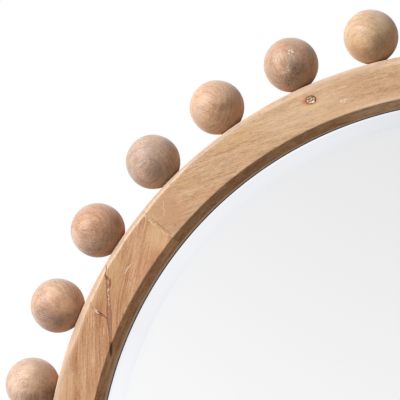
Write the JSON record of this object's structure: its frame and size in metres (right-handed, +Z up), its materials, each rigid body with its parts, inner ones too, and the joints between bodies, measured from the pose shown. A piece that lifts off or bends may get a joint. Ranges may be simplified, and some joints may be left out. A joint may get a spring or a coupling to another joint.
{
  "type": "round wall mirror",
  "caption": "Round wall mirror: a wide wooden ring built from glued segments, edged with a row of turned wooden balls, round a bevelled glass, with swinging rings behind to hang it.",
  "frame": {"origin": "on the wall, level with the middle of the mirror", "axes": "+Z up, +Y into the wall, so that the glass faces -Y; +X to the right as seen from the front"},
  "size_m": [0.9107, 0.0534, 0.9098],
  "materials": {
    "ring_wood": "sanded, dry waxed, with worn edges",
    "ball_wood": "turned and dry waxed",
    "dowel_wood": "plain beech",
    "mirror_glass": "polished, silvered behind, bevelled rim",
    "cushion_foam": "thin foam sheet",
    "backing_fibreboard": "raw fibreboard",
    "screw_brass": "yellow passivated",
    "strap_steel": "zinc plated",
    "wire_steel": "zinc plated wire",
    "pad_rubber": "matt"
  },
  "bodies": {
    "mirror": {"ring_segment_1": "ring_wood", "ring_segment_2": "ring_wood", "ring_segment_3": "ring_wood", "ring_segment_4": "ring_wood", "ring_segment_5": "ring_wood", "ring_segment_6": "ring_wood", "ring_segment_7": "ring_wood", "ring_segment_8": "ring_wood", "ball_01": "ball_wood", "ball_02": "ball_wood", "ball_03": "ball_wood", "ball_04": "ball_wood", "ball_05": "ball_wood", "ball_06": "ball_wood", "ball_07": "ball_wood", "ball_08": "ball_wood", "ball_09": "ball_wood", "ball_10": "ball_wood", "ball_11": "ball_wood", "ball_12": "ball_wood", "ball_13": "ball_wood", "ball_14": "ball_wood", "ball_15": "ball_wood", "ball_16": "ball_wood", "ball_17": "ball_wood", "ball_18": "ball_wood", "ball_19": "ball_wood", "ball_20": "ball_wood", "ball_21": "ball_wood", "ball_22": "ball_wood", "ball_23": "ball_wood", "ball_24": "ball_wood", "ball_25": "ball_wood", "ball_26": "ball_wood", "ball_27": "ball_wood", "ball_28": "ball_wood", "ball_29": "ball_wood", "ball_30": "ball_wood", "ball_31": "ball_wood", "ball_32": "ball_wood", "ball_33": "ball_wood", "ball_34": "ball_wood", "segment_dowels": "dowel_wood", "ball_dowels": "dowel_wood", "mirror_glass": "mirror_glass", "glass_cushion": "cushion_foam", "backing_board": "backing_fibreboard", "board_screws": "screw_brass", "left_strap": "strap_steel", "right_strap": "strap_steel", "hanger_screws": "screw_brass", "wall_pads": "pad_rubber"},
    "left_ring": {"left_hanging_ring": "wire_steel"},
    "right_ring": {"right_hanging_ring": "wire_steel"}
  },
  "joints": [
    {"name": "left_ring_swing", "type": "hinge", "parent": "mirror", "child": "left_ring", "pos_m": [-0.2032, -0.00762, 0.18], "axis": [1, 0, 0], "range_deg": [0, 176]},
    {"name": "right_ring_swing", "type": "hinge", "parent": "mirror", "child": "right_ring", "pos_m": [0.2032, -0.00762, 0.18], "axis": [1, 0, 0], "range_deg": [0, 176]}
  ]
}
